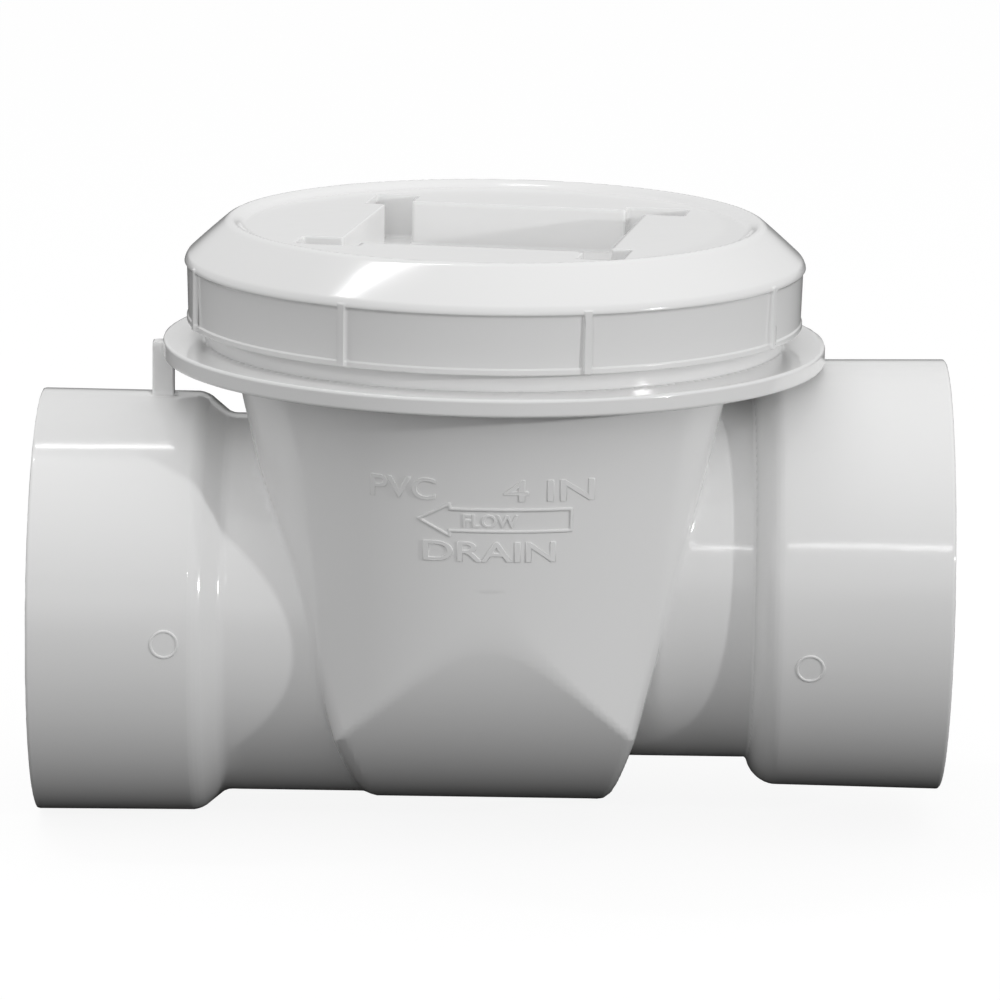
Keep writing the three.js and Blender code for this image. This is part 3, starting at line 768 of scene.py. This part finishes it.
def body_ticks():
    ends = [(side * HUB_LENGTH, 1.2, 0.6) for side in (-1, 1)]
    shelves = [(side * SHELF, 0.6, 0.8) for side in (-1, 1)]
    shoulders = [(-82.5, 5, 1.3), (83, 5, 1.3)]
    fine = [*ends, *shelves, *shoulders, (POST["x"], 4, 1.4), (0, 76, BODY_STEP)]
    along = ticks_over(BODY_LOW[0] - MARGIN, BODY_HIGH[0] + MARGIN, LENGTH_STEP, fine)
    across = ticks_over(BODY_LOW[1] - MARGIN, BODY_HIGH[1] + MARGIN, BODY_STEP, [(0, 5, 1.4)])
    edges = [(height, 1, 0.6) for height in (FLANGE["bottom"], FLANGE["top"], COLLAR["top"])]
    up = ticks_over(BODY_LOW[2] - MARGIN, BODY_HIGH[2] + MARGIN, BODY_STEP, edges)
    return along, across, up


def lid_ticks():
    edges = [POCKET[name] for name in ("half", "notch_from", "notch_side", "notch_end")]
    fine = [(side * edge, 0.5, 0.7) for side in (-1, 1) for edge in edges]
    across = ticks_over(LID_LOW[0] - MARGIN, LID_HIGH[0] + MARGIN, LID_STEP, fine)
    steps = [(LID["lip"] + 1.2, 1.4, 0.4), (LID["band_bottom"] + 0.8, 1.2, 0.4), (LID["crest"], 1.2, 0.4)]
    return across, across, ticks_over(LID_LOW[2] - 2, LID_HIGH[2] + 2, 1.0, steps)


TURN = math.radians(POCKET["turn"])
LID_AXES = np.array([[math.cos(TURN), math.sin(TURN), 0], [-math.sin(TURN), math.cos(TURN), 0], [0, 0, 1]])


def turned_lid_field(u, v, z):
    """The lid seen square to its socket, so that the socket's edges follow the grid."""
    return lid_field(*turned_to(u, v, -POCKET["turn"]), z)


moulding("valve_body_shell", "valve", "white_pvc", "valve_body", body_field, body_ticks())
moulding("access_lid", "lid", "white_pvc", "lid", turned_lid_field, lid_ticks(), LID_AXES)
add_piece(thread_ridge("collar_thread", COLLAR["outer"], 1, THREAD["male_start"], THREAD["male_turns"]),
          "valve", "white_pvc")
add_piece(thread_ridge("lid_thread", LID["inner"], -1, THREAD["female_start"], THREAD["female_turns"]),
          "lid", "white_pvc")

# ---------------------------------------------------------------- seals, seat and flapper

FINE = 0.9
RETAINER_STEP = 0.8 * FINE
SCREW_STEP = 0.3
PIN_STEP = 0.5
CLIP_STEP = 0.3
SEAT_PLACE = dict(axes=SEAT_AXES, origin=SEAT_CENTRE)

gasket = flat_ring(
    "lid_gasket_ring", (GASKET["inner"], GASKET_LOW[2]), (GASKET_HIGH[1], GASKET_HIGH[2]), GASKET["edge"]
)
add_piece(gasket, "gasket", "black_rubber", "lid_gasket")
seal = flat_ring(
    "flapper_seal_ring", (SEAL["inner"], SEAL["front"]), (SEAL["outer"], SEAL["back"]), SEAL["edge"],
    **SEAT_PLACE
)
add_piece(seal, "flapper", "black_rubber", "flapper_seal")


def disc_ticks(radius, low, high, step, top=None):
    """Grid ticks round a disc about the z axis, or one with an ear that reaches y = top."""
    return box_ticks((-radius, -radius, low), (radius, top or radius, high), step)


EYE = HINGE["height"] + HINGE["ear"]
seat_ticks = disc_ticks(SEAT["rim"], -SEAT["spigot_length"], HINGE["out"] + HINGE["ear"], FINE, EYE)
moulding("seat_ring", "valve", "ivory_pvc", "seat_insert", seat_field, seat_ticks, **SEAT_PLACE)
flapper_ticks = disc_ticks(FLAP["radius"], 0, HINGE["out"] + HINGE["knuckle"], FINE, EYE)
moulding("flapper_disc", "flapper", "ivory_pvc", "flapper", flapper_field, flapper_ticks, **SEAT_PLACE)
moulding("seal_retainer_disc", "flapper", "stainless", "seal_retainer", retainer_field,
         disc_ticks(RETAINER["radius"], RETAINER["front"], 0, RETAINER_STEP), **SEAT_PLACE)

HEAD_TOP = RETAINER["front"] - SCREW["gap"] - SCREW["head_height"]
screw_ticks = disc_ticks(SCREW["head"], HEAD_TOP, SCREW["tip"], SCREW_STEP)
for number, degrees in enumerate((45, 135, 225, 315), 1):
    turn = math.radians(degrees)
    place = np.array([SCREW["circle"] * math.cos(turn), SCREW["circle"] * math.sin(turn), 0])
    node = f"retainer_screw_{number}"
    moulding(f"{node}_shape", "flapper", "stainless", node, screw_field, screw_ticks, SEAT_AXES,
             SEAT_CENTRE + place @ SEAT_AXES)


def pin_ticks(start, end, radius, step):
    """Grid ticks round a stretch of the hinge's axis."""
    low = (start, HINGE["height"] - radius, HINGE["out"] - radius)
    return box_ticks(low, (end, HINGE["height"] + radius, HINGE["out"] + radius), step)


moulding("hinge_pin_rod", "valve", "stainless", "hinge_pin", pin_field,
         pin_ticks(-HINGE["half"], HINGE["half"], HINGE["pin"], PIN_STEP), **SEAT_PLACE)
for node, side in (("pin_clip_front", 1), ("pin_clip_rear", -1)):
    outer = HINGE["half"] - CLIP["inset"]
    ends = sorted((side * (outer - CLIP["thickness"]), side * outer))
    moulding(f"{node}_ring", "valve", "stainless", node, clip_on_pin(side),
             pin_ticks(*ends, CLIP["radius"], CLIP_STEP), **SEAT_PLACE)

# ---------------------------------------------------------------- raised marks on the front

MARK_SUNK = 0.6
ARROW = dict(
    z=106.2, tip=-20.9, tail=23.3, head=9.0, half=3.2, head_half=4.7,
    line=0.45, proud=0.35, edge=0.3, step=0.33,
)
RING = dict(radius=3.9, line=0.4, proud=0.3, edge=0.25, step=0.28)
LETTER = dict(extrude=0.3, bevel=0.12, sunk=0.05)


def front_of(surface):
    """Turns flat (x, height, raised) places into places on the front of the valve."""
    return lambda p: np.stack([p[:, 0], -surface(p[:, 0], p[:, 1], p[:, 2]), p[:, 1]], 1)


def barrel_front(x, z, raised):
    return np.sqrt((pot_radius(z) + raised) ** 2 - x * x)


def hub_front(hub):
    def surface(x, z, raised):
        reach = (hub["side"] * x - hub["shoulder"]) / (HUB_LENGTH - hub["shoulder"])
        radius = hub["root"] + (hub["mouth"] - hub["root"]) * reach + raised
        return np.sqrt(radius**2 - (z - hub["axis"]) ** 2)
    return surface


def raised_mark(name, outline, mark, low, high, surface):
    """A line round the zero of outline(x, z), drawn flat between low and high, then laid on a surface."""
    def field(x, z, raised):
        line = np.abs(outline(x, z)) - mark["line"]
        return both(line, slab(raised, -MARK_SUNK, mark["proud"]), mark["edge"])
    ticks = box_ticks((*low, -MARK_SUNK - 0.1), (*high, mark["proud"] + 0.2), mark["step"])
    places, quads = surface_of(field, ticks)
    obj = mesh_object(name, front_of(surface)(places), quads[:, ::-1].tolist())
    return add_piece(weigh_normals(obj), "valve", "white_pvc")


def flow_arrow():
    """An outlined arrow on the barrel that points to the outlet."""
    tip, tail, neck = ARROW["tip"], ARROW["tail"], ARROW["tip"] + ARROW["head"]
    half, wide, z0 = ARROW["half"], ARROW["head_half"], ARROW["z"]
    upper = [(tail, half), (neck, half), (neck, wide)]
    corners = [(tip, 0), *[(x, -z) for x, z in reversed(upper)], *upper]
    low, high = (tip - 1.3, z0 - wide - 0.9), (tail + 1.1, z0 + wide + 0.9)
    raised_mark("flow_arrow", lambda x, z: polygon(x, z - z0, corners), ARROW, low, high, barrel_front)


def ring_mark(name, hub, x0, z0):
    reach = RING["radius"] + 0.6
    raised_mark(name, lambda x, z: hypot(x - x0, z - z0) - RING["radius"], RING,
                (x0 - reach, z0 - reach), (x0 + reach, z0 + reach), hub_front(hub))


def raised_words(name, words, size, x0, x1, z0):
    """Words in the plain built-in face, stretched between x0 and x1 on the barrel's front."""
    curve = bpy.data.curves.new(name, "FONT")
    curve.body = words
    curve.size = size
    curve.extrude = LETTER["extrude"]
    curve.bevel_depth = LETTER["bevel"]
    curve.bevel_resolution = 2
    curve.resolution_u = 6
    scratch = bpy.data.objects.new(name, curve)
    bpy.context.scene.collection.objects.link(scratch)
    mesh = bpy.data.meshes.new_from_object(scratch.evaluated_get(bpy.context.evaluated_depsgraph_get()))
    bpy.data.objects.remove(scratch)
    flat = np.empty(3 * len(mesh.vertices), np.float32)
    mesh.vertices.foreach_get("co", flat)
    flat = flat.reshape(-1, 3).astype(float)
    flat[:, 0] = x0 + (flat[:, 0] - flat[:, 0].min()) * (x1 - x0) / np.ptp(flat[:, 0])
    flat[:, 1] += z0
    flat[:, 2] -= LETTER["sunk"]
    mesh.vertices.foreach_set("co", (front_of(barrel_front)(flat) * MM).ravel())
    mesh.update()
    obj = bpy.data.objects.new(name, mesh)
    bpy.context.scene.collection.objects.link(obj)
    return add_piece(obj, "valve", "white_pvc")


flow_arrow()
ring_mark("inlet_ring_mark", INLET, 94.2, MID_Z - 9.7)
ring_mark("outlet_ring_mark", OUTLET, -95.3, MID_Z - 5.0)
for name, words, size, x0, x1, z0 in (
    ("type_lettering", "PVC", 9.0, -35.0, -16.0, 112.0),
    ("size_lettering", "4 IN", 9.0, 3.6, 30.0, 112.0),
    ("flow_lettering", "FLOW", 5.2, -8.0, 8.0, 104.3),
    ("use_lettering", "DRAIN", 8.4, -19.5, 19.0, 94.0),
):
    raised_words(name, words, size, x0, x1, z0)

# ---------------------------------------------------------------- studio
# Lights and the backdrop are in metres.

SCENE = bpy.context.scene
SCENE.view_settings.view_transform = "Standard"

CAMERA = dict(place=(6.9, -1791.2, 398.6 + MID_Z), pan=-0.0025, tilt=0.2048, roll=0.0141, lens=218.2)
MIDDLE = (0, 0, MID_Z * MM)


def add_camera():
    """The photo's camera: place in millimetres, angles in radians."""
    pan, tilt, roll = CAMERA["pan"], CAMERA["tilt"], CAMERA["roll"]
    ahead = Vector((math.sin(pan) * math.cos(tilt), math.cos(pan) * math.cos(tilt), -math.sin(tilt)))
    right = ahead.cross(Vector((0, 0, 1))).normalized()
    up = right.cross(ahead)
    right, up = right * math.cos(roll) + up * math.sin(roll), up * math.cos(roll) - right * math.sin(roll)
    data = bpy.data.cameras.new("camera")
    data.lens = CAMERA["lens"]
    data.sensor_width = 36
    data.clip_end = 50
    camera = bpy.data.objects.new("camera", data)
    camera.matrix_world = Matrix((
        (right.x, up.x, -ahead.x, CAMERA["place"][0] * MM),
        (right.y, up.y, -ahead.y, CAMERA["place"][1] * MM),
        (right.z, up.z, -ahead.z, CAMERA["place"][2] * MM),
        (0, 0, 0, 1),
    ))
    SCENE.collection.objects.link(camera)
    SCENE.camera = camera


def backdrop_mesh(flat=2.2, bend=0.8, top=4.0, segments=64):
    """A round floor that curves up into a wall on every side, so any view has the same pale ground."""
    profile = [(flat, 0.0)]
    for angle in np.linspace(0, math.pi / 2, 12)[1:]:
        profile.append((flat + bend * math.sin(angle), bend - bend * math.cos(angle)))
    profile.append((flat + bend, top))
    vertices = []
    for radius, height in profile:
        for angle in (TAU * i / segments for i in range(segments)):
            vertices.append((radius * math.cos(angle), radius * math.sin(angle), height))
    faces = [*strip_quads(len(profile), segments, False).tolist(), tuple(range(segments))]
    mesh = bpy.data.meshes.new("backdrop")
    mesh.from_pydata(vertices, [], faces)
    return mesh


def add_backdrop():
    mesh = backdrop_mesh()
    backdrop = bpy.data.objects.new("backdrop", mesh)
    SCENE.collection.objects.link(backdrop)
    material = bpy.data.materials.new("backdrop_finish")
    material.use_nodes = True
    shader = material.node_tree.nodes["Principled BSDF"]
    shader.inputs["Base Color"].default_value = (0.12, 0.12, 0.12, 1)
    shader.inputs["Roughness"].default_value = 1.0
    shader.inputs["Specular IOR Level"].default_value = 0.0
    shader.inputs["Emission Color"].default_value = (1, 1, 1, 1)
    shader.inputs["Emission Strength"].default_value = 0.9
    mesh.materials.append(material)
    backdrop.visible_shadow = False
    backdrop.visible_diffuse = False
    backdrop.visible_glossy = False


def add_light(name, place, power, width, height=None):
    """An area light aimed at the middle of the valve, square when it has no height."""
    data = bpy.data.lights.new(name, "AREA")
    data.shape = "RECTANGLE" if height else "SQUARE"
    data.size = width
    if height:
        data.size_y = height
    data.energy = power
    light = bpy.data.objects.new(name, data)
    light.location = place
    light.rotation_euler = (Vector(MIDDLE) - Vector(place)).to_track_quat("-Z", "Y").to_euler()
    SCENE.collection.objects.link(light)
    return light


def add_key(azimuth=60, height=14, distance=2.2):
    """The small hard key, from the right of the camera. Angles in degrees."""
    azimuth, height = math.radians(azimuth), math.radians(height)
    level = distance * math.cos(height)
    place = (level * math.sin(azimuth), -level * math.cos(azimuth), distance * math.sin(height))
    add_light("key", place, 12.5, 0.07)


def add_highlights():
    """Two panes for the patches on the lid's shoulder, and two narrow strips for the lines along the hubs."""
    for number, shift in enumerate((-0.041, 0.041)):
        add_light(f"pane_{number}", (-0.48 + shift, 0.07, 1.3), 0.85, 0.056, 0.36)
    add_light("left_strip", (-0.2, 0.3, 1.45), 0.8, 0.4, 0.035)
    add_light("right_strip", (0.25, -1.8, 0.95), 0.6, 0.3, 0.04)


def eased_range(tree, value, given, wanted):
    """value moved smoothly from one range to another."""
    node = tree.nodes.new("ShaderNodeMapRange")
    node.interpolation_type = "SMOOTHSTEP"
    for name, number in zip(("From Min", "From Max", "To Min", "To Max"), (*given, *wanted)):
        node.inputs[name].default_value = number
    link(tree, value, node.inputs["Value"])
    return node.outputs["Result"]


def joined(tree, operation, first, second):
    node = tree.nodes.new("ShaderNodeMath")
    node.operation = operation
    link(tree, first, node.inputs[0])
    link(tree, second, node.inputs[1])
    return node.outputs["Value"]


def add_world(above, below):
    """Even light all round, far weaker from below, and a dark card low behind that draws the outlines."""
    world = bpy.data.worlds.new("studio")
    SCENE.world = world
    world.use_nodes = True
    tree = world.node_tree
    place = tree.nodes.new("ShaderNodeTexCoord")
    split = tree.nodes.new("ShaderNodeSeparateXYZ")
    link(tree, place.outputs["Generated"], split.inputs["Vector"])
    dome = eased_range(tree, split.outputs["Z"], (-0.12, 0.2), (below, above))
    card = eased_range(tree, split.outputs["Y"], (0.7, 0.9), (1, 0.05))
    over_card = eased_range(tree, split.outputs["Z"], (-0.06, 0.1), (0, 1))
    lit = joined(tree, "MULTIPLY", dome, joined(tree, "MAXIMUM", card, over_card))
    background = tree.nodes["Background"]
    background.inputs["Color"].default_value = (1, 1, 1, 1)
    link(tree, lit, background.inputs["Strength"])


add_camera()
add_backdrop()
add_world(above=0.735, below=0.005)
add_key()
add_highlights()
front_fill = add_light("front_fill", (-0.6, -2.1, 0.25), 7, 0.9)
front_fill.visible_glossy = False
